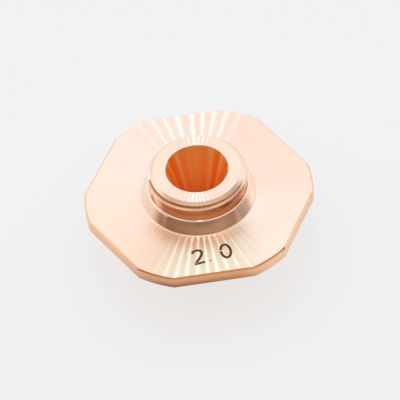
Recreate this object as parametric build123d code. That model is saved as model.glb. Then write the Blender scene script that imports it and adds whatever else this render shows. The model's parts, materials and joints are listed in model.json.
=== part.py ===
# Hexagonal cutting nozzle, turned from one bar of copper, in millimetres.
# It stands on its tip: the axis is Z, and the origin is the middle of the orifice in the tip face.
import os
from build123d import *

# Flange: a thin disc with six spanner flats, one of them facing -Y
flange_diameter = 32.0
across_flats = 30.0
flange_thickness = 2.0
flange_edge_chamfer = 0.2
flat_count = 6

# Nose: the cone below the flange, which ends in the flat tip
nose_height = 8.0
nose_base_diameter = 15.0
nose_root_radius = 0.8
tip_diameter = 5.6
tip_edge_radius = 0.3

# Spigot: the cone that centres the nozzle, the neck and the threaded end
thread_diameter = 14.0
thread_length = 1.8
thread_end_chamfer = 0.85
neck_depth = 0.4
neck_width = 1.0
shoulder_step = 0.25
shoulder_edge_radius = 0.35
cone_height = 2.2
cone_spread = 0.75
cone_root_radius = 0.2

# Passage: a long taper from the open end of the spigot down to the orifice
mouth_diameter = 8.6
orifice_diameter = 2.0
orifice_length = 3.0

# Heights and radii that follow from the sizes above
seat_height = nose_height + flange_thickness
shoulder_height = seat_height + cone_height
neck_top = shoulder_height + neck_width
overall_height = neck_top + thread_length
thread_radius = thread_diameter / 2
neck_radius = thread_radius - neck_depth
cone_top_radius = thread_radius + shoulder_step
cone_base_radius = cone_top_radius + cone_spread
nose_base_radius = nose_base_diameter / 2


def turned(outline, rounded=None, radius=0.0):
    """Turn a closed (radius, height) outline about the axis, with one corner rounded first."""
    with BuildPart() as part:
        with BuildSketch(Plane.XZ) as section:
            with BuildLine():
                Polyline(*outline, close=True)
            make_face()
            if rounded:
                corner = section.vertices().sort_by_distance(rounded)[0]
                fillet(corner, radius)
        revolve(axis=Axis.Z)
    return part.part


def flange():
    """The disc, cut by the six flats, with its top and bottom edges broken all round."""
    with BuildPart() as part:
        with BuildSketch(Plane.XY.offset(nose_height)):
            Circle(flange_diameter / 2)
            RegularPolygon(across_flats / 2, flat_count, major_radius=False, mode=Mode.INTERSECT)
        extrude(amount=flange_thickness)
        levels = part.edges().group_by(Axis.Z)
        chamfer(levels[0] + levels[-1], flange_edge_chamfer)
    return part.part


def nose():
    """The solid cone from the tip face up to the underside of the flange."""
    tip_edge = (tip_diameter / 2, 0)
    outline = [(0, 0), tip_edge, (nose_base_radius, nose_height), (0, nose_height)]
    return turned(outline, rounded=tip_edge, radius=tip_edge_radius)


def spigot():
    """The centring cone, the neck and the thread's outer diameter, with the thread left off."""
    shoulder_edge = (cone_top_radius, shoulder_height)
    outline = [
        (0, seat_height),
        (cone_base_radius, seat_height),
        shoulder_edge,
        (neck_radius, shoulder_height),
        (neck_radius, neck_top),
        (thread_radius, neck_top),
        (thread_radius, overall_height - thread_end_chamfer),
        (thread_radius - thread_end_chamfer, overall_height),
        (0, overall_height),
    ]
    return turned(outline, rounded=shoulder_edge, radius=shoulder_edge_radius)


def passage():
    """The space that the beam and the gas pass through: taper, then orifice."""
    orifice_radius = orifice_diameter / 2
    outline = [
        (0, 0),
        (orifice_radius, 0),
        (orifice_radius, orifice_length),
        (mouth_diameter / 2, overall_height),
        (0, overall_height),
    ]
    return turned(outline)


def with_rounded_root(body, base_radius, height, radius):
    """The body after the inner corner where a cone meets the flange is rounded."""
    corner = body.edges().sort_by_distance((0, base_radius, height))[0]
    return fillet(corner, radius)


def nozzle():
    """The whole nozzle: one solid piece, with the nose and the cone rounded into the flange."""
    body = nose() + flange() + spigot()
    body = with_rounded_root(body, nose_base_radius, nose_height, nose_root_radius)
    body = with_rounded_root(body, cone_base_radius, seat_height, cone_root_radius)
    return body - passage()


os.makedirs("parts", exist_ok=True)
export_step(nozzle(), "parts/nozzle.step")
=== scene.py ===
# Hexagonal cutting nozzle of turned copper, standing on its tip. Lengths in metres; the settings give
# object sizes in millimetres, which the name mm turns into metres.
import json
from math import atan2, cos, pi, radians, sin, tan

import bpy
from mathutils import Matrix, Vector

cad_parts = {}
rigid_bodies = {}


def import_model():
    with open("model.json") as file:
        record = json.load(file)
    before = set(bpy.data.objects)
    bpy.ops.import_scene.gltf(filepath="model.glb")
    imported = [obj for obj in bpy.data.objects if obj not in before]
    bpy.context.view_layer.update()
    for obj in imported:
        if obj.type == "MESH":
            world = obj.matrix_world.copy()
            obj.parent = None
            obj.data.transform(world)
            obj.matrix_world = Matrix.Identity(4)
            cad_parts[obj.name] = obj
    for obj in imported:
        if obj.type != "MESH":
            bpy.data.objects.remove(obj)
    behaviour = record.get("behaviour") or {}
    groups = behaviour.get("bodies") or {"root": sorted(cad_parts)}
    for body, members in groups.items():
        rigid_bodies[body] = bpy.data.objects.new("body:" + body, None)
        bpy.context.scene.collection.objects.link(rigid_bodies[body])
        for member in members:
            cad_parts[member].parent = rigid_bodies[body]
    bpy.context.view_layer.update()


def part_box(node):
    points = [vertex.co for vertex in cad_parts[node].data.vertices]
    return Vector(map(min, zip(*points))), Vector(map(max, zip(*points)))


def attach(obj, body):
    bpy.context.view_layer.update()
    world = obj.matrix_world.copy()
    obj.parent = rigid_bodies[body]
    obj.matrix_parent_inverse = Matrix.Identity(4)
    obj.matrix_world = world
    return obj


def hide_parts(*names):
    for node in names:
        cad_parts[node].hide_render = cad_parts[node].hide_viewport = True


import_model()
mm = 0.001
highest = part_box("nozzle")[1]
discRadius, flatDistance, overallHeight = highest.x, highest.y, highest.z
print("frame: disc radius, flat distance, height", discRadius, flatDistance, overallHeight)


# Small helpers for node trees of every kind

def plug(tree, socket, value):
    if isinstance(value, bpy.types.NodeSocket):
        tree.links.new(value, socket)
    else:
        socket.default_value = value


def addNode(tree, kind, sockets=None, **settings):
    node = tree.nodes.new(kind)
    for name, value in settings.items():
        setattr(node, name, value)
    for key, value in (sockets or {}).items():
        plug(tree, node.inputs[key], value)
    return node


def calc(tree, operation, *terms):  # one Math node
    node = addNode(tree, "ShaderNodeMath", dict(enumerate(terms)), operation=operation)
    return node.outputs[0]


def vectorCalc(tree, operation, *terms):  # one Vector Math node; a dot product comes out as its number
    node = addNode(tree, "ShaderNodeVectorMath", dict(enumerate(terms)), operation=operation)
    return node.outputs[1] if operation == "DOT_PRODUCT" else node.outputs[0]


def ease(tree, value, start, end):  # 0 before start, 1 after end, smooth between
    sockets = {"Value": value, "From Min": start, "From Max": end, "To Min": 0.0, "To Max": 1.0}
    return addNode(tree, "ShaderNodeMapRange", sockets, interpolation_type="SMOOTHSTEP").outputs[0]


def join(tree, x, y, z):
    return addNode(tree, "ShaderNodeCombineXYZ", {"X": x, "Y": y, "Z": z}).outputs[0]


def split(tree, vector):
    return addNode(tree, "ShaderNodeSeparateXYZ", {"Vector": vector}).outputs


def mixColour(tree, share, first, second):  # inputs 6 and 7 and output 2 are the node's colour sockets
    node = addNode(tree, "ShaderNodeMix", data_type="RGBA")
    plug(tree, node.inputs[0], share)
    plug(tree, node.inputs[6], first)
    plug(tree, node.inputs[7], second)
    return node.outputs[2]


def newMaterial(name):
    material = bpy.data.materials.new(name)
    material.use_nodes = True
    material.node_tree.nodes.clear()
    return material, material.node_tree


# Camera: the nozzle seen from above its threaded end
cameraSettings = {
    "aim": (-0.000039, -0.001422, 0.010),
    "distance": 0.51996,
    "azimuth": -4.42,
    "elevation": 48.711,
    "roll": -4.815,
    "lens": 336.0757,
    "sensorWidth": 36.0,
    "nearest": 0.01,
    "furthest": 10.0,
}


def makeCamera(look):
    around, up, roll = (radians(look[k]) for k in ("azimuth", "elevation", "roll"))
    back = Vector((sin(around) * cos(up), -cos(around) * cos(up), sin(up)))
    levelRight = Vector((cos(around), sin(around), 0.0))
    levelUp = back.cross(levelRight)
    right = levelRight * cos(roll) + levelUp * sin(roll)
    data = bpy.data.cameras.new("photoCamera")
    data.lens = look["lens"]
    data.sensor_width = look["sensorWidth"]
    data.clip_start, data.clip_end = look["nearest"], look["furthest"]
    camera = bpy.data.objects.new("photoCamera", data)
    turned = Matrix((right, back.cross(right), back)).transposed().to_4x4()
    camera.matrix_world = Matrix.Translation(Vector(look["aim"]) + back * look["distance"]) @ turned
    bpy.context.scene.collection.objects.link(camera)
    bpy.context.scene.camera = camera


makeCamera(cameraSettings)


# Light: a soft tent, bright overhead and behind. The near side is open to a dim, warm room, apart from
# two narrow paler gaps at its sides. A strip lamp hangs overhead in the dim slot between two cloths.
tentSettings = {
    "colour": (1.11, 1.11, 1.11),
    "roomHeights": {0.0: (0.11, 0.08, 0.055), 0.45: (0.19, 0.135, 0.09), 0.62: (0.88, 0.56, 0.38),
                    0.76: (1.04, 0.84, 0.70), 0.93: (1.10, 1.05, 1.0)},
    "roomTowards": -85.0,
    "roomSpread": 1.0,
    "roomEdge": (0.28, 0.36),
    "gaps": ((-24.0, 5.0, 0.35), (-165.0, 4.0, 0.6)),
    "slotAlong": 85.6,
    "slotShift": 1.2,
    "slotWidth": (15.0, 9.0),
    "slotStart": (0.86, 0.92),
    "slotDepth": 0.32,
    "stripMiddle": 82.0,
    "stripLength": 22.0,
    "stripWidth": 3.1,
    "stripColour": (4.4, 5.3, 6.9),
}


def direction(towards, height):
    return Vector((cos(towards) * cos(height), sin(towards) * cos(height), sin(height)))


def colourRamp(tree, value, stops):
    node = addNode(tree, "ShaderNodeValToRGB", {"Fac": value})
    elements = node.color_ramp.elements
    while len(elements) < len(stops):
        elements.new(0.5)
    for element, (place, colour) in zip(elements, sorted(stops.items())):
        element.position = place
        element.color = (*colour, 1.0)
    return node.outputs["Color"]


def makeTent(look):
    world = bpy.data.worlds.new("softTent")
    world.use_nodes = True
    bpy.context.scene.world = world
    tree = world.node_tree
    tree.nodes.clear()
    ray = addNode(tree, "ShaderNodeTexCoord").outputs["Generated"]
    x, y, z = split(tree, ray)
    level = vectorCalc(tree, "NORMALIZE", join(tree, x, y, 0.0))
    room = direction(radians(look["roomTowards"]), 0.0)
    # the room looks wider the higher it goes
    facing = vectorCalc(tree, "DOT_PRODUCT", level, room)
    reach = calc(tree, "ADD", facing, calc(tree, "MULTIPLY", z, look["roomSpread"]))
    roomShare = ease(tree, reach, *look["roomEdge"])
    for towards, width, share in look["gaps"]:
        gap = direction(radians(towards), 0.0)
        inGap = ease(tree, vectorCalc(tree, "DOT_PRODUCT", level, gap), cos(radians(width)), 1.0)
        inGap = calc(tree, "SUBTRACT", 1.0, calc(tree, "MULTIPLY", inGap, share))
        roomShare = calc(tree, "MULTIPLY", roomShare, inGap)
    tent = mixColour(tree, roomShare, (*look["colour"], 1.0), colourRamp(tree, z, look["roomHeights"]))

    beside = direction(radians(look["slotAlong"] - 90.0), 0.0)
    offSide = vectorCalc(tree, "DOT_PRODUCT", ray, beside)
    offSide = calc(tree, "ADD", offSide, sin(radians(look["slotShift"])))
    offSide = calc(tree, "ABSOLUTE", offSide)
    inSlot = ease(tree, offSide, *(sin(radians(angle)) for angle in look["slotWidth"]))
    inSlot = calc(tree, "MULTIPLY", inSlot, ease(tree, z, *look["slotStart"]))
    unlit = calc(tree, "SUBTRACT", 1.0, calc(tree, "MULTIPLY", inSlot, look["slotDepth"]))
    tent = vectorCalc(tree, "MULTIPLY", tent, join(tree, unlit, unlit, unlit))

    middle = direction(radians(look["slotAlong"]), radians(look["stripMiddle"]))
    inWidth = ease(tree, offSide, sin(radians(look["stripWidth"])), 0.0)
    toMiddle = vectorCalc(tree, "DOT_PRODUCT", ray, middle)
    inLength = ease(tree, toMiddle, cos(radians(look["stripLength"])), 1.0)
    inStrip = calc(tree, "MULTIPLY", inWidth, inLength)
    strip = vectorCalc(tree, "MULTIPLY", join(tree, inStrip, inStrip, inStrip), look["stripColour"])
    tent = vectorCalc(tree, "ADD", tent, strip)

    shade = addNode(tree, "ShaderNodeBackground", {"Color": tent, "Strength": 1.0})
    addNode(tree, "ShaderNodeOutputWorld", {0: shade.outputs[0]})


makeTent(tentSettings)
bpy.context.scene.view_settings.view_transform = "Standard"


# Floor: pale and plain, with some light of its own so that the shadow stays light
floorSettings = {"halfSize": 4.0, "paint": (0.20, 0.214, 0.226), "glow": 0.70}


def makeFloor(look):
    half = look["halfSize"]
    mesh = bpy.data.meshes.new("floor")
    corners = [(-half, -half, 0), (half, -half, 0), (half, half, 0), (-half, half, 0)]
    mesh.from_pydata(corners, [], [(0, 1, 2, 3)])
    floor = bpy.data.objects.new("floor", mesh)
    bpy.context.scene.collection.objects.link(floor)
    paint, tree = newMaterial("palePaper")
    cover = addNode(tree, "ShaderNodeBsdfDiffuse", {"Color": (*look["paint"], 1.0)})
    glow = addNode(tree, "ShaderNodeEmission", {"Color": (1, 1, 1, 1), "Strength": look["glow"]})
    both = addNode(tree, "ShaderNodeAddShader", {0: cover.outputs[0], 1: glow.outputs[0]})
    addNode(tree, "ShaderNodeOutputMaterial", {0: both.outputs[0]})
    mesh.materials.append(paint)


makeFloor(floorSettings)


# Dim card: a low curved card in front, outside the picture, that only the metal mirrors. It is painted
# shade: a dark sheet that stands for shade in front of the nozzle in the rim's and the cone's reflections
cardSettings = {
    "radius": 42.0,
    "height": 8.0,
    "from": -155.0,
    "to": -25.0,
    "steps": 26,
    # its dark glow is the painted shade that the metal mirrors
    "paint": (0.10, 0.07, 0.05),
}


def makeCard(look):
    points, faces = [], []
    for i in range(look["steps"] + 1):
        spot = direction(radians(look["from"] + (look["to"] - look["from"]) * i / look["steps"]), 0.0)
        spot *= look["radius"] * mm
        points += [tuple(spot), (spot.x, spot.y, look["height"] * mm)]
    for i in range(look["steps"]):
        faces.append((2 * i, 2 * i + 1, 2 * i + 3, 2 * i + 2))
    mesh = bpy.data.meshes.new("dimCard")
    mesh.from_pydata(points, [], faces)
    card = bpy.data.objects.new("dimCard", mesh)
    bpy.context.scene.collection.objects.link(card)
    paint, tree = newMaterial("dimPaper")
    glow = addNode(tree, "ShaderNodeEmission", {"Color": (*look["paint"], 1.0), "Strength": 1.0})
    addNode(tree, "ShaderNodeOutputMaterial", {0: glow.outputs[0]})
    mesh.materials.append(paint)
    card.visible_camera = card.visible_diffuse = card.visible_shadow = False


makeCard(cardSettings)
print("camera, tent, floor and card made")


# Copper finishes: the lathe's rings stretch every highlight across them, and its chatter leaves
# shallow scallops side by side round the axis, each one leaning a little to either side
# Several finishes also carry painted light and shade in their colour: reflections and shade painted round
# the axis, near the inner corners, low on the rim and inside the bore
finishSettings = {
    # the face's colour is painted reflection round the axis; near the cone's foot it is painted darker and
    # amber where it mirrors the cone, with a painted highlight at one side
    "faceCopper": {"roughness": 0.24, "anisotropic": 1.0,
                   "scallops": 58, "lean": 0.085, "leanSides": 0.3, "leanEdge": (0.36, 0.68),
                   "paintedLightTints": {-180: (0.95, 0.75, 0.63), -125: (0.95, 0.72, 0.58), -98: (0.96, 0.82, 0.62),
                             -50: (0.96, 0.81, 0.70), 0: (0.96, 0.72, 0.61), 40: (0.96, 0.73, 0.61),
                             130: (0.95, 0.80, 0.71), 180: (0.95, 0.75, 0.63)},
                   "rootPaintedLight": {-180: (0.95, 0.75, 0.63), -150: (0.95, 0.73, 0.60),
                                 -128: (0.94, 0.64, 0.45), -82: (0.97, 0.74, 0.53),
                                 -52: (1.0, 0.93, 0.83), 0: (0.96, 0.72, 0.61),
                                 130: (0.95, 0.80, 0.71), 180: (0.95, 0.75, 0.63)},
                   "rootRadii": (8.2, 11.2)},
    "endCopper": {"colour": (0.955, 0.745, 0.63), "roughness": 0.24, "anisotropic": 1.0,
                  "scallops": 58, "lean": 0.055},
    "noseCopper": {"colour": (0.90, 0.57, 0.42), "roughness": 0.22, "anisotropic": 0.8,
                   "scallops": 58, "lean": 0.03},
    # the mouth's edge is painted dark brown: painted shade along the lip of the bore
    "mouthCopper": {"colour": (0.66, 0.34, 0.17), "roughness": 0.3, "anisotropic": 0.3,
                    "scallops": 58, "lean": 0.004},
    # the cone's tints are painted reflections: a dark patch at the front left and a pale, nearly white
    # band at the front right
    "coneCopper": {"roughness": 0.14, "anisotropic": 0.85, "scallops": 58, "lean": 0.018,
                   "paintedLightTints": {-180: (0.90, 0.84, 0.74), -155: (0.84, 0.76, 0.66), -140: (0.60, 0.42, 0.30),
                             -75: (1.0, 0.74, 0.56), -58: (0.78, 0.54, 0.43), -40: (1.0, 0.97, 0.93),
                             20: (0.95, 0.84, 0.74), 180: (0.90, 0.84, 0.74)}},
    "ledgeCopper": {"colour": (0.95, 0.74, 0.61), "roughness": 0.14, "anisotropic": 0.85,
                    "scallops": 58, "lean": 0.018},
    # the neck is painted darker across the front: a painted dark reflection
    "neckCopper": {"roughness": 0.2, "anisotropic": 0.5, "scallops": 58, "lean": 0.004,
                   "paintedLightTints": {-180: (0.90, 0.66, 0.51), -158: (0.90, 0.66, 0.51), -144: (0.42, 0.20, 0.10),
                             -95: (0.60, 0.29, 0.15), -60: (0.45, 0.21, 0.10), -42: (0.50, 0.24, 0.12),
                             -25: (0.90, 0.66, 0.51), 180: (0.90, 0.66, 0.51)}},
    # the thread is painted darker at its root: painted shade in its groove
    "threadCopper": {"colour": (0.92, 0.64, 0.47), "roughness": 0.2, "anisotropic": 0.5,
                     "scallops": 58, "lean": 0.004,
                     "rootPaintedLight": {0: (0.55, 0.25, 0.12)}, "rootRadii": (6.66, 6.97)},
    # the satin tints are painted light: paler across the front, as a painted highlight
    "satinCopper": {"roughness": 0.36, "anisotropic": 0.3, "scallops": 58, "lean": 0.004,
                    "paintedLightTints": {-180: (0.96, 0.71, 0.55), -120: (1.0, 0.83, 0.66), -75: (1.0, 0.83, 0.66),
                              -45: (1.0, 0.88, 0.74), -15: (0.96, 0.76, 0.62), 180: (0.96, 0.71, 0.55)}},
    # the rim's tints are painted reflections: darker at the front, and darker still towards its lower edge
    # there, as painted shade
    "rimCopper": {"roughness": 0.25, "anisotropic": 0.6, "scallops": 90, "lean": 0.01,
                  "paintedLightTints": {-180: (0.95, 0.55, 0.32), -145: (0.91, 0.52, 0.30), -118: (0.70, 0.40, 0.23),
                            -76: (0.77, 0.41, 0.22), -60: (1.0, 0.64, 0.40), -25: (0.95, 0.62, 0.41),
                            0: (0.88, 0.56, 0.35), 180: (0.95, 0.55, 0.32)},
                  "lowPaintedShade": {-180: (0.92, 0.55, 0.33), -136: (0.82, 0.46, 0.26),
                               -114: (0.38, 0.15, 0.07), -76: (0.56, 0.23, 0.09),
                               -60: (0.92, 0.60, 0.39), 0: (0.88, 0.56, 0.35), 180: (0.92, 0.55, 0.33)},
                  "lowToHigh": (8.3, 9.5)},
    # the bore is painted a deep, saturated orange, paler on its +Y side: painted light standing for light
    # bounced round inside it
    "boreCopper": {"roughness": 0.28, "anisotropic": 0.8, "scallops": 13, "lean": 0.1,
                   "metallic": 0.1, "gloss": 0.8, "glossTint": (1.0, 0.4, 0.05),
                   "paintedLightTints": {-180: (1.0, 0.22, 0.005), 30: (1.0, 0.22, 0.005), 80: (1.0, 0.50, 0.13),
                             100: (1.0, 0.50, 0.13), 150: (1.0, 0.22, 0.005), 180: (1.0, 0.22, 0.005)},
                   "streak": (1.0, 0.60, 0.22), "streakScale": 3.0, "streakDetail": 3.0,
                   "streakRoughness": 0.7, "streakEdge": (0.47, 0.60)},
}
wobbleSettings = {"scale": 2.5, "detail": 1.0}  # how the scallops' spacing drifts round the axis


def paintedLightRamp(tree, around, paintedLightTints):  # colours by angle round the axis
    stops = {angle / 360 + 0.5: tint for angle, tint in paintedLightTints.items()}
    return colourRamp(tree, calc(tree, "ADD", around, 0.5), stops)


def makeFinish(name, look):
    finish, tree = newMaterial(name)
    place = addNode(tree, "ShaderNodeTexCoord").outputs["Object"]
    x, y, z = split(tree, place)
    around = calc(tree, "DIVIDE", calc(tree, "ARCTAN2", y, x), 2 * pi)
    sideways = vectorCalc(tree, "NORMALIZE", join(tree, calc(tree, "MULTIPLY", y, -1.0), x, 0.0))
    # each scallop leans from one side to the other; the wobble keeps them from being all alike
    wobble = addNode(tree, "ShaderNodeTexNoise", {"Vector": sideways, "Scale": wobbleSettings["scale"],
                                                  "Detail": wobbleSettings["detail"]}).outputs[0]
    count = calc(tree, "MULTIPLY", around, look["scallops"])
    step = calc(tree, "FRACT", calc(tree, "ADD", count, wobble))
    lean = calc(tree, "MULTIPLY", calc(tree, "SUBTRACT", step, 0.5), 2 * look["lean"])
    if "leanSides" in look:  # the chatter is strongest on two opposite sides of the disc
        offLine = calc(tree, "ABSOLUTE", vectorCalc(tree, "DOT_PRODUCT", sideways, (0.0, 1.0, 0.0)))
        weaker = calc(tree, "MULTIPLY", ease(tree, offLine, *look["leanEdge"]), 1.0 - look["leanSides"])
        lean = calc(tree, "MULTIPLY", lean, calc(tree, "SUBTRACT", 1.0, weaker))
    normal = addNode(tree, "ShaderNodeNewGeometry").outputs["Normal"]
    leaning = addNode(tree, "ShaderNodeVectorMath", {0: sideways, "Scale": lean},
                      operation="SCALE").outputs[0]
    normal = vectorCalc(tree, "NORMALIZE", vectorCalc(tree, "ADD", normal, leaning))
    across = vectorCalc(tree, "CROSS_PRODUCT", normal, sideways)
    if "paintedLightTints" in look:  # painted light and shade: reflections painted into the copper's colour, lighter and darker round the axis
        colour = paintedLightRamp(tree, around, look["paintedLightTints"])
    else:
        colour = (*look["colour"], 1.0)
    if "lowPaintedShade" in look:  # painted shade down the rim: darker towards its lower edge at the front, standing for a shadow that the rim mirrors
        up = ease(tree, z, *(height * mm for height in look["lowToHigh"]))
        colour = mixColour(tree, up, paintedLightRamp(tree, around, look["lowPaintedShade"]), colour)
    if "rootPaintedLight" in look:  # painted reflection and shade at the inner corners: the disc lighter and darker near the cone's foot where it mirrors the cone, the thread darker at its root
        fromAxis = addNode(tree, "ShaderNodeVectorMath", {0: join(tree, x, y, 0.0)},
                           operation="LENGTH").outputs[1]
        onCrest = ease(tree, fromAxis, *(radius * mm for radius in look["rootRadii"]))
        colour = mixColour(tree, onCrest, paintedLightRamp(tree, around, look["rootPaintedLight"]), colour)
    if "streak" in look:  # paler bands run down the bore: streaks of reflected light painted into its colour
        marks = addNode(tree, "ShaderNodeTexNoise", {
            "Vector": sideways, "Scale": look["streakScale"],
            "Detail": look["streakDetail"], "Roughness": look["streakRoughness"]}).outputs[0]
        colour = mixColour(tree, ease(tree, marks, *look["streakEdge"]), colour, (*look["streak"], 1.0))
    shade = addNode(tree, "ShaderNodeBsdfPrincipled", {
        "Base Color": colour, "Metallic": look.get("metallic", 1.0),
        "Roughness": look["roughness"], "Anisotropic": look["anisotropic"],
        "Specular IOR Level": look.get("gloss", 0.5),
        "Specular Tint": (*look.get("glossTint", (1.0, 1.0, 1.0)), 1.0),
        "Normal": normal, "Tangent": across})
    addNode(tree, "ShaderNodeOutputMaterial", {0: shade.outputs[0]})
    return finish


finishes = [makeFinish(name, look) for name, look in finishSettings.items()]
finishNumber = {name: number for number, name in enumerate(finishSettings)}
print("copper finishes made:", len(finishes))


# Nozzle body: one turned outline, cut by the flats and by the thread
nozzleSettings = {
    "tipRadius": 2.8, "tipEdge": 0.3, "noseHeight": 8.0, "noseBase": 7.5, "noseRoot": 0.8,
    "flangeThickness": 2.0, "flangeChamfer": 0.2, "sides": 6,
    "coneBase": 8.0, "coneTop": 7.25, "coneHeight": 2.2, "coneRoot": 0.2, "shoulderEdge": 0.35,
    "neckRadius": 6.6, "neckWidth": 1.0, "endChamfer": 0.85,
    "mouthRadius": 4.3, "mouthEdge": 0.08, "orificeRadius": 1.0, "orificeLength": 3.0,
    "flatSteps": 40, "arcSteps": 20, "cornerSteps": 8, "supportGap": 0.03, "sharpAngle": 16.0,
}
threadSettings = {
    "crestRadius": 7.0, "rootRadius": 6.6, "pitch": 1.0, "crestWidth": 0.1, "flankAngle": 60.0,
    "startHeight": 14.02, "runInStart": 13.04, "runInEnd": 13.3, "edgeSoftness": 0.06, "rowsPerPitch": 36,
}
roundRow, flatRow, threadRow = range(3)  # how a row of the outline is turned
nozzleWeld, markWeld = 2e-7, 1e-7  # in metres: closes the seams and moves no real edge
ringTolerance = 1e-6  # in metres
smoothShare = 0.9  # an edge is on the thread where both its ends are
chamferShare = 0.7  # a face is on the chamfer where at least three of its four corners are


def roundedCorner(before, corner, after, radius, look):  # arc between two straight runs of the outline
    before, corner, after = Vector(before), Vector(corner), Vector(after)
    back, ahead = (before - corner).normalized(), (after - corner).normalized()
    half = back.angle(ahead) / 2
    centre = corner + (back + ahead).normalized() * radius / sin(half)
    start, end = corner + back * radius / tan(half), corner + ahead * radius / tan(half)
    first, last = (atan2(*(p - centre).yx) for p in (start, end))
    turn = (last - first + pi) % (2 * pi) - pi
    points = [start + back * look["supportGap"]]
    for i in range(look["cornerSteps"] + 1):
        angle = first + turn * i / look["cornerSteps"]
        points.append(centre + radius * Vector((cos(angle), sin(angle))))
    points.append(end + ahead * look["supportGap"])
    return [tuple(p) for p in points]


def makeOutline(look, thread):
    disc, height = discRadius / mm, overallHeight / mm
    nose, seat = look["noseHeight"], look["noseHeight"] + look["flangeThickness"]
    shoulder = seat + look["coneHeight"]
    neckTop = shoulder + look["neckWidth"]
    chamfer, broken = look["flangeChamfer"], disc - look["flangeChamfer"]
    tip, noseBase = (look["tipRadius"], 0.0), (look["noseBase"], nose)
    coneBase, coneTop = (look["coneBase"], seat), (look["coneTop"], shoulder)
    rows = []  # radius, height, finish, kind of row

    def add(points, finish, kind=roundRow):
        rows.extend((r, z, finishNumber[finish], kind) for r, z in points)

    add([(look["orificeRadius"], 0.0)], "noseCopper")
    add(roundedCorner((0.0, 0.0), tip, noseBase, look["tipEdge"], look), "noseCopper")
    add(roundedCorner(tip, noseBase, (disc, nose), look["noseRoot"], look), "noseCopper")
    add([(broken, nose), (disc, nose + chamfer), (disc, seat - chamfer)], "rimCopper", flatRow)
    add([(broken, seat)], "faceCopper", flatRow)
    coneFoot = roundedCorner((disc, seat), coneBase, coneTop, look["coneRoot"], look)
    add(coneFoot[:-1], "satinCopper")
    add(coneFoot[-1:], "coneCopper")
    add(roundedCorner(coneBase, coneTop, (0.0, shoulder), look["shoulderEdge"], look), "ledgeCopper")
    add([(look["neckRadius"], shoulder), (look["neckRadius"], neckTop)], "neckCopper")
    step = thread["pitch"] / thread["rowsPerPitch"]
    # the thread's rows start a pitch below the neck's top and end just past the end face
    threadRows = int((height - neckTop + thread["pitch"]) / step) + 2
    add([(thread["crestRadius"], neckTop - thread["pitch"] + i * step) for i in range(threadRows)],
        "threadCopper", threadRow)
    add([(thread["crestRadius"] - look["endChamfer"], height)], "endCopper")
    mouth, edge, orifice = look["mouthRadius"], look["mouthEdge"], look["orificeRadius"]
    add([(mouth + edge, height)], "mouthCopper")
    add([(mouth, height - edge), (orifice, look["orificeLength"]), (orifice, 0.0)], "boreCopper")
    mesh = bpy.data.meshes.new("nozzleOutline")
    mesh.from_pydata([(r * mm, 0.0, z * mm) for r, z, finish, kind in rows], [], [])
    for name, column in (("finish", 2), ("kind", 3)):
        layer = mesh.attributes.new(name, "INT", "POINT")
        layer.data.foreach_set("value", [row[column] for row in rows])
    outline = bpy.data.objects.new("nozzleBody", mesh)
    bpy.context.scene.collection.objects.link(outline)
    return outline, neckTop


def sample(tree, shape, value, index, kind):  # a value read from the outline's own points
    sockets = {"Geometry": shape, "Value": value, "Index": index}
    return addNode(tree, "GeometryNodeSampleIndex", sockets, data_type=kind).outputs[0]


def namedValue(tree, name, kind="INT"):
    return addNode(tree, "GeometryNodeInputNamedAttribute", {"Name": name}, data_type=kind).outputs[0]


def choose(tree, switch, off, on):
    return addNode(tree, "GeometryNodeSwitch", {"Switch": switch, "False": off, "True": on},
                   input_type="FLOAT").outputs[0]


def equals(tree, first, second):  # inputs 2 and 3 are the node's whole numbers
    return addNode(tree, "FunctionNodeCompare", {2: first, 3: second}, data_type="INT",
                   operation="EQUAL").outputs[0]


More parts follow.
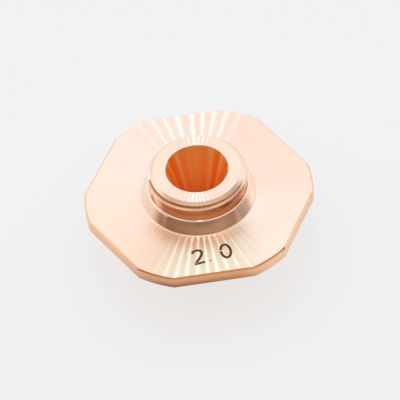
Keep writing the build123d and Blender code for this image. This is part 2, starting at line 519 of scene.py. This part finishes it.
def nozzleTree():
    tree = bpy.data.node_groups.new("turnNozzle", "GeometryNodeTree")
    ports = tree.interface
    ports.new_socket(name="Geometry", in_out="INPUT", socket_type="NodeSocketGeometry")
    for name in ("Sides", "Flat Steps", "Arc Steps"):
        ports.new_socket(name=name, in_out="INPUT", socket_type="NodeSocketInt")
    for name in ("Disc Radius", "Flat Distance", "Crest Radius", "Root Radius", "Crest Width",
                 "Flank Slope", "Pitch", "Start Height", "Run In Start", "Run In End",
                 "Edge Softness", "Thread Bottom", "End Height", "End Radius", "Sharp Angle"):
        ports.new_socket(name=name, in_out="INPUT", socket_type="NodeSocketFloat")
    ports.new_socket(name="Geometry", in_out="OUTPUT", socket_type="NodeSocketGeometry")
    given = addNode(tree, "NodeGroupInput").outputs
    outline = given["Geometry"]

    rows = addNode(tree, "GeometryNodeAttributeDomainSize", {"Geometry": outline}).outputs["Point Count"]
    perSide = calc(tree, "ADD", given["Flat Steps"], given["Arc Steps"])
    columns = calc(tree, "MULTIPLY", perSide, given["Sides"])
    grid = addNode(tree, "GeometryNodeMeshGrid",
                   {"Vertices X": calc(tree, "ADD", columns, 1.0), "Vertices Y": rows}).outputs[0]
    index = addNode(tree, "GeometryNodeInputIndex").outputs[0]
    row = calc(tree, "FLOORED_MODULO", index, rows)
    column = calc(tree, "FLOOR", calc(tree, "DIVIDE", index, rows))

    # columns land on both ends of every flat
    half = calc(tree, "ARCCOSINE", calc(tree, "DIVIDE", given["Flat Distance"], given["Disc Radius"]))
    side = calc(tree, "FLOOR", calc(tree, "DIVIDE", column, perSide))
    local = calc(tree, "SUBTRACT", column, calc(tree, "MULTIPLY", side, perSide))
    sideAngle = calc(tree, "DIVIDE", 2 * pi, given["Sides"])
    flatShare = calc(tree, "DIVIDE", local, given["Flat Steps"])
    flatAngle = calc(tree, "MULTIPLY", half, 2.0)
    onFlat = calc(tree, "SUBTRACT", calc(tree, "MULTIPLY", flatShare, flatAngle), half)
    pastFlat = calc(tree, "SUBTRACT", local, given["Flat Steps"])
    arcShare = calc(tree, "DIVIDE", pastFlat, given["Arc Steps"])
    arcAngle = calc(tree, "SUBTRACT", sideAngle, flatAngle)
    onArc = calc(tree, "ADD", half, calc(tree, "MULTIPLY", arcShare, arcAngle))
    fromFlat = choose(tree, calc(tree, "GREATER_THAN", local, given["Flat Steps"]), onFlat, onArc)
    # the first flat faces -Y, and the first column stands at its left end
    sideStart = calc(tree, "MULTIPLY", side, sideAngle)
    fromStart = calc(tree, "ADD", calc(tree, "ADD", sideStart, fromFlat), half)
    angle = calc(tree, "SUBTRACT", calc(tree, "SUBTRACT", fromStart, half), pi / 2)

    position = addNode(tree, "GeometryNodeInputPosition").outputs[0]
    point = split(tree, sample(tree, outline, position, row, "FLOAT_VECTOR"))
    radius, height = point[0], point[2]
    kind = sample(tree, outline, namedValue(tree, "kind"), row, "INT")

    # flats: the outline's distance in from the disc's edge is kept all round
    inFromEdge = calc(tree, "SUBTRACT", given["Disc Radius"], radius)
    flatHere = calc(tree, "SUBTRACT", given["Flat Distance"], inFromEdge)
    cut = calc(tree, "MINIMUM", radius, calc(tree, "DIVIDE", flatHere, calc(tree, "COSINE", fromFlat)))

    # thread: its rows climb with the helix, and stop at the neck and at the end face
    climb = calc(tree, "MULTIPLY", calc(tree, "DIVIDE", fromStart, 2 * pi), given["Pitch"])
    threadHeight = calc(tree, "MINIMUM", calc(tree, "MAXIMUM", calc(tree, "ADD", height, climb),
                                              given["Thread Bottom"]), given["End Height"])
    turnsUp = calc(tree, "DIVIDE", calc(tree, "SUBTRACT", calc(tree, "SUBTRACT", threadHeight, climb),
                                        given["Start Height"]), given["Pitch"])
    turn = calc(tree, "ROUND", turnsUp)
    offCrest = calc(tree, "ABSOLUTE", calc(tree, "SUBTRACT", turnsUp, turn))
    offCrest = calc(tree, "SUBTRACT", calc(tree, "MULTIPLY", offCrest, given["Pitch"]),
                    calc(tree, "MULTIPLY", given["Crest Width"], 0.5))
    drop = calc(tree, "MULTIPLY", offCrest, given["Flank Slope"])
    flank = calc(tree, "SUBTRACT", given["Crest Radius"], drop)
    form = calc(tree, "SMOOTH_MAX", flank, given["Root Radius"], given["Edge Softness"])
    form = calc(tree, "SMOOTH_MIN", form, given["Crest Radius"], given["Edge Softness"])
    # the lowest turn grows out of the neck
    crestHeight = calc(tree, "ADD", calc(tree, "ADD", given["Start Height"], climb),
                       calc(tree, "MULTIPLY", turn, given["Pitch"]))
    grown = ease(tree, crestHeight, given["Run In Start"], given["Run In End"])
    form = calc(tree, "ADD", given["Root Radius"],
                calc(tree, "MULTIPLY", calc(tree, "SUBTRACT", form, given["Root Radius"]), grown))
    belowFace = calc(tree, "SUBTRACT", given["End Height"], threadHeight)
    endCut = calc(tree, "ADD", given["End Radius"], belowFace)
    chamfered = calc(tree, "LESS_THAN", endCut, form)
    form = calc(tree, "SMOOTH_MIN", form, endCut, given["Edge Softness"])

    isThread, isFlange = equals(tree, kind, threadRow), equals(tree, kind, flatRow)
    finalRadius = choose(tree, isThread, choose(tree, isFlange, radius, cut), form)
    finalHeight = choose(tree, isThread, height, threadHeight)
    place = join(tree, calc(tree, "MULTIPLY", calc(tree, "COSINE", angle), finalRadius),
                 calc(tree, "MULTIPLY", calc(tree, "SINE", angle), finalRadius), finalHeight)
    shape = addNode(tree, "GeometryNodeSetPosition", {"Geometry": grid, "Position": place}).outputs[0]

    # the thread shades smooth, but not its first and last ring
    firstRing = calc(tree, "ADD", given["Thread Bottom"], ringTolerance)
    lastRing = calc(tree, "SUBTRACT", given["End Height"], ringTolerance)
    aboveBottom = calc(tree, "GREATER_THAN", finalHeight, firstRing)
    belowEnd = calc(tree, "LESS_THAN", finalHeight, lastRing)
    insideThread = calc(tree, "MULTIPLY", isThread, calc(tree, "MULTIPLY", aboveBottom, belowEnd))

    # a face's row numbers the faces of one column, one fewer than its points
    faceRow = calc(tree, "FLOORED_MODULO", index, calc(tree, "SUBTRACT", rows, 1.0))
    finish = sample(tree, outline, namedValue(tree, "finish"), faceRow, "INT")
    shape = addNode(tree, "GeometryNodeSetShadeSmooth", {"Geometry": shape}).outputs[0]
    painted = addNode(tree, "GeometryNodeStoreNamedAttribute",
                      {"Geometry": shape, "Name": "faceFinish", "Value": finish},
                      data_type="INT", domain="FACE").outputs[0]
    painted = addNode(tree, "GeometryNodeStoreNamedAttribute",
                      {"Geometry": painted, "Name": "onThread", "Value": insideThread},
                      data_type="FLOAT", domain="POINT").outputs[0]
    painted = addNode(tree, "GeometryNodeStoreNamedAttribute",
                      {"Geometry": painted, "Name": "onChamfer",
                       "Value": calc(tree, "MULTIPLY", isThread, chamfered)},
                      data_type="FLOAT", domain="POINT").outputs[0]
    closed = addNode(tree, "GeometryNodeMergeByDistance",
                     {"Geometry": painted, "Distance": nozzleWeld}).outputs[0]
    fold = addNode(tree, "GeometryNodeInputMeshEdgeAngle").outputs["Unsigned Angle"]
    sharp = calc(tree, "MULTIPLY", calc(tree, "GREATER_THAN", fold, given["Sharp Angle"]),
                 calc(tree, "LESS_THAN", namedValue(tree, "onThread", "FLOAT"), smoothShare))
    creased = addNode(tree, "GeometryNodeSetShadeSmooth",
                      {"Geometry": closed, "Selection": sharp, "Shade Smooth": False},
                      domain="EDGE").outputs[0]
    shape = addNode(tree, "GeometryNodeRealizeInstances", {"Geometry": creased}).outputs[0]
    onChamfer = calc(tree, "GREATER_THAN", namedValue(tree, "onChamfer", "FLOAT"), chamferShare)
    isEndFace = equals(tree, namedValue(tree, "faceFinish"), finishNumber["endCopper"])
    onChamfer = calc(tree, "MULTIPLY", onChamfer, calc(tree, "SUBTRACT", 1.0, isEndFace))
    faceFinish = choose(tree, onChamfer, namedValue(tree, "faceFinish"),
                        float(finishNumber["satinCopper"]))
    for number, finishMaterial in enumerate(finishes):
        chosen = equals(tree, faceFinish, number)
        shape = addNode(tree, "GeometryNodeSetMaterial",
                        {"Geometry": shape, "Selection": chosen, "Material": finishMaterial}).outputs[0]
    addNode(tree, "NodeGroupOutput", {0: shape})
    return tree


def applyTree(piece, tree, values):  # runs the tree and keeps its result as a plain mesh
    modifier = piece.modifiers.new(tree.name, "NODES")
    modifier.node_group = tree
    for item in tree.interface.items_tree:
        if item.item_type == "SOCKET" and item.in_out == "INPUT" and item.name in values:
            modifier[item.identifier] = values[item.name]
    result = bpy.data.meshes.new_from_object(piece.evaluated_get(bpy.context.evaluated_depsgraph_get()))
    piece.modifiers.remove(modifier)
    result.name = piece.name
    piece.data = result


body, neckTop = makeOutline(nozzleSettings, threadSettings)
applyTree(body, nozzleTree(), {
    "Sides": nozzleSettings["sides"],
    "Flat Steps": nozzleSettings["flatSteps"],
    "Arc Steps": nozzleSettings["arcSteps"],
    "Disc Radius": discRadius,
    "Flat Distance": flatDistance,
    "Crest Radius": threadSettings["crestRadius"] * mm,
    "Root Radius": threadSettings["rootRadius"] * mm,
    "Crest Width": threadSettings["crestWidth"] * mm,
    "Flank Slope": 1 / tan(radians(threadSettings["flankAngle"] / 2)),
    "Pitch": threadSettings["pitch"] * mm,
    "Start Height": threadSettings["startHeight"] * mm,
    "Run In Start": threadSettings["runInStart"] * mm,
    "Run In End": threadSettings["runInEnd"] * mm,
    "Edge Softness": threadSettings["edgeSoftness"] * mm,
    "Thread Bottom": neckTop * mm,
    "End Height": overallHeight,
    "End Radius": (threadSettings["crestRadius"] - nozzleSettings["endChamfer"]) * mm,
    "Sharp Angle": radians(nozzleSettings["sharpAngle"]),
})
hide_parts("nozzle")
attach(body, "root")
print("body:", len(body.data.vertices), "points,", len(body.data.polygons), "faces")


# Size mark: a plain 2.0 burnt into the face by laser, as one closed sheet a hair thick
markSettings = {
    "strokeWidth": 0.38, "seat": 10.0, "above": 0.008, "below": 0.012, "stepsPerSpan": 8,
    "two": [(-2.46, -11.0), (-2.31, -10.66), (-1.88, -10.5), (-1.41, -10.56), (-1.17, -10.86),
            (-1.22, -11.3), (-1.42, -11.7), (-1.75, -12.18), (-2.12, -12.64)],
    "twoBase": [(-2.40, -12.93), (-0.90, -12.71)],
    "zeroCentre": (2.147, -11.31), "zeroHalfSize": (0.67, 1.17), "zeroLean": 5.0, "zeroGap": (164, 172),
    "zeroSteps": 64, "point": (-0.17, -12.6), "pointRadius": 0.125, "pointSteps": 24,
}
markPaint = {
    "light": (0.22, 0.075, 0.02), "dark": (0.10, 0.03, 0.008), "grain": 9000.0, "grainDetail": 3.0,
    "grainEdge": (0.35, 0.65), "roughness": 0.6, "shine": 0.15,
}


def smoothPath(points, steps):  # a smooth curve through all the points
    points = [Vector(point) for point in points]
    points = [points[0] * 2 - points[1]] + points + [points[-1] * 2 - points[-2]]
    path = []
    for a, b, c, d in zip(points, points[1:], points[2:], points[3:]):
        for i in range(steps):
            t = i / steps
            path.append(0.5 * ((2 * b) + (c - a) * t + (2 * a - 5 * b + 4 * c - d) * t * t
                               + (3 * b - a - 3 * c + d) * t * t * t))
    return path + [points[-2]]


def strokeOutline(path, width):  # both sides of a path, as one loop
    left, right = [], []
    for i, point in enumerate(path):
        along = (path[min(i + 1, len(path) - 1)] - path[max(i - 1, 0)]).normalized()
        side = Vector((-along.y, along.x)) * width / 2
        left.append(point + side)
        right.append(point - side)
    return left + right[::-1]


def circlePath(centre, halfSize, lean, start, end, steps):
    path = []
    for i in range(steps + 1):
        angle = radians(start + (end - start) * i / steps)
        point = Vector((cos(angle) * halfSize[0], sin(angle) * halfSize[1]))
        point.rotate(Matrix.Rotation(radians(lean), 2))
        path.append(Vector(centre) + point)
    return path


def markTree(paint):
    tree = bpy.data.node_groups.new("burnMark", "GeometryNodeTree")
    ports = tree.interface
    ports.new_socket(name="Geometry", in_out="INPUT", socket_type="NodeSocketGeometry")
    for name in ("Thickness", "Height"):
        ports.new_socket(name=name, in_out="INPUT", socket_type="NodeSocketFloat")
    ports.new_socket(name="Geometry", in_out="OUTPUT", socket_type="NodeSocketGeometry")
    given = addNode(tree, "NodeGroupInput").outputs
    curves = addNode(tree, "GeometryNodeMeshToCurve", {"Mesh": given["Geometry"]}).outputs[0]
    bottom = addNode(tree, "GeometryNodeFillCurve", {"Curve": curves}).outputs[0]
    bottom = addNode(tree, "GeometryNodeTransform",
                     {"Geometry": bottom, "Translation": join(tree, 0.0, 0.0, given["Height"])}).outputs[0]
    rise = join(tree, 0.0, 0.0, given["Thickness"])
    grown = addNode(tree, "GeometryNodeExtrudeMesh", {
        "Mesh": bottom, "Offset": rise, "Offset Scale": 1.0, "Individual": False}).outputs["Mesh"]
    under = addNode(tree, "GeometryNodeFlipFaces", {"Mesh": bottom}).outputs[0]
    both = tree.nodes.new("GeometryNodeJoinGeometry")
    for part in (under, grown):
        tree.links.new(part, both.inputs[0])
    closed = addNode(tree, "GeometryNodeMergeByDistance",
                     {"Geometry": both.outputs[0], "Distance": markWeld}).outputs[0]
    shape = addNode(tree, "GeometryNodeRealizeInstances", {"Geometry": closed}).outputs[0]
    shape = addNode(tree, "GeometryNodeSetMaterial", {"Geometry": shape, "Material": paint}).outputs[0]
    addNode(tree, "NodeGroupOutput", {0: shape})
    return tree


def makeMarkPaint(look):
    paint, tree = newMaterial("burntBrown")
    place = addNode(tree, "ShaderNodeTexCoord").outputs["Object"]
    grain = addNode(tree, "ShaderNodeTexNoise",
                    {"Vector": place, "Scale": look["grain"], "Detail": look["grainDetail"]}).outputs[0]
    burnt = ease(tree, grain, *look["grainEdge"])
    colour = mixColour(tree, burnt, (*look["light"], 1.0), (*look["dark"], 1.0))
    shade = addNode(tree, "ShaderNodeBsdfPrincipled", {
        "Base Color": colour, "Roughness": look["roughness"], "Specular IOR Level": look["shine"]})
    addNode(tree, "ShaderNodeOutputMaterial", {0: shade.outputs[0]})
    return paint


def makeMark(look):
    width, steps = look["strokeWidth"], look["stepsPerSpan"]
    gapStart, gapEnd = look["zeroGap"]
    zero = circlePath(look["zeroCentre"], look["zeroHalfSize"], look["zeroLean"],
                      gapEnd, gapStart + 360, look["zeroSteps"])
    point = circlePath(look["point"], (look["pointRadius"],) * 2, 0.0, 0.0, 360.0, look["pointSteps"])[:-1]
    loops = [strokeOutline(smoothPath(look["two"], steps) + smoothPath(look["twoBase"], 1), width),
             strokeOutline(zero, width), point]
    points, edges = [], []
    for loop in loops:
        first = len(points)
        points += [(p.x * mm, p.y * mm, 0.0) for p in loop]
        edges += [(first + i, first + (i + 1) % len(loop)) for i in range(len(loop))]
    mesh = bpy.data.meshes.new("sizeMark")
    mesh.from_pydata(points, edges, [])
    mark = bpy.data.objects.new("sizeMark", mesh)
    bpy.context.scene.collection.objects.link(mark)
    applyTree(mark, markTree(makeMarkPaint(markPaint)), {
        "Thickness": (look["above"] + look["below"]) * mm,
        "Height": (look["seat"] - look["below"]) * mm,
    })
    mark.visible_glossy = False  # the cone above it mirrors no figures
    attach(mark, "root")
    print("size mark:", len(mark.data.vertices), "points,", len(mark.data.polygons), "faces")


makeMark(markSettings)
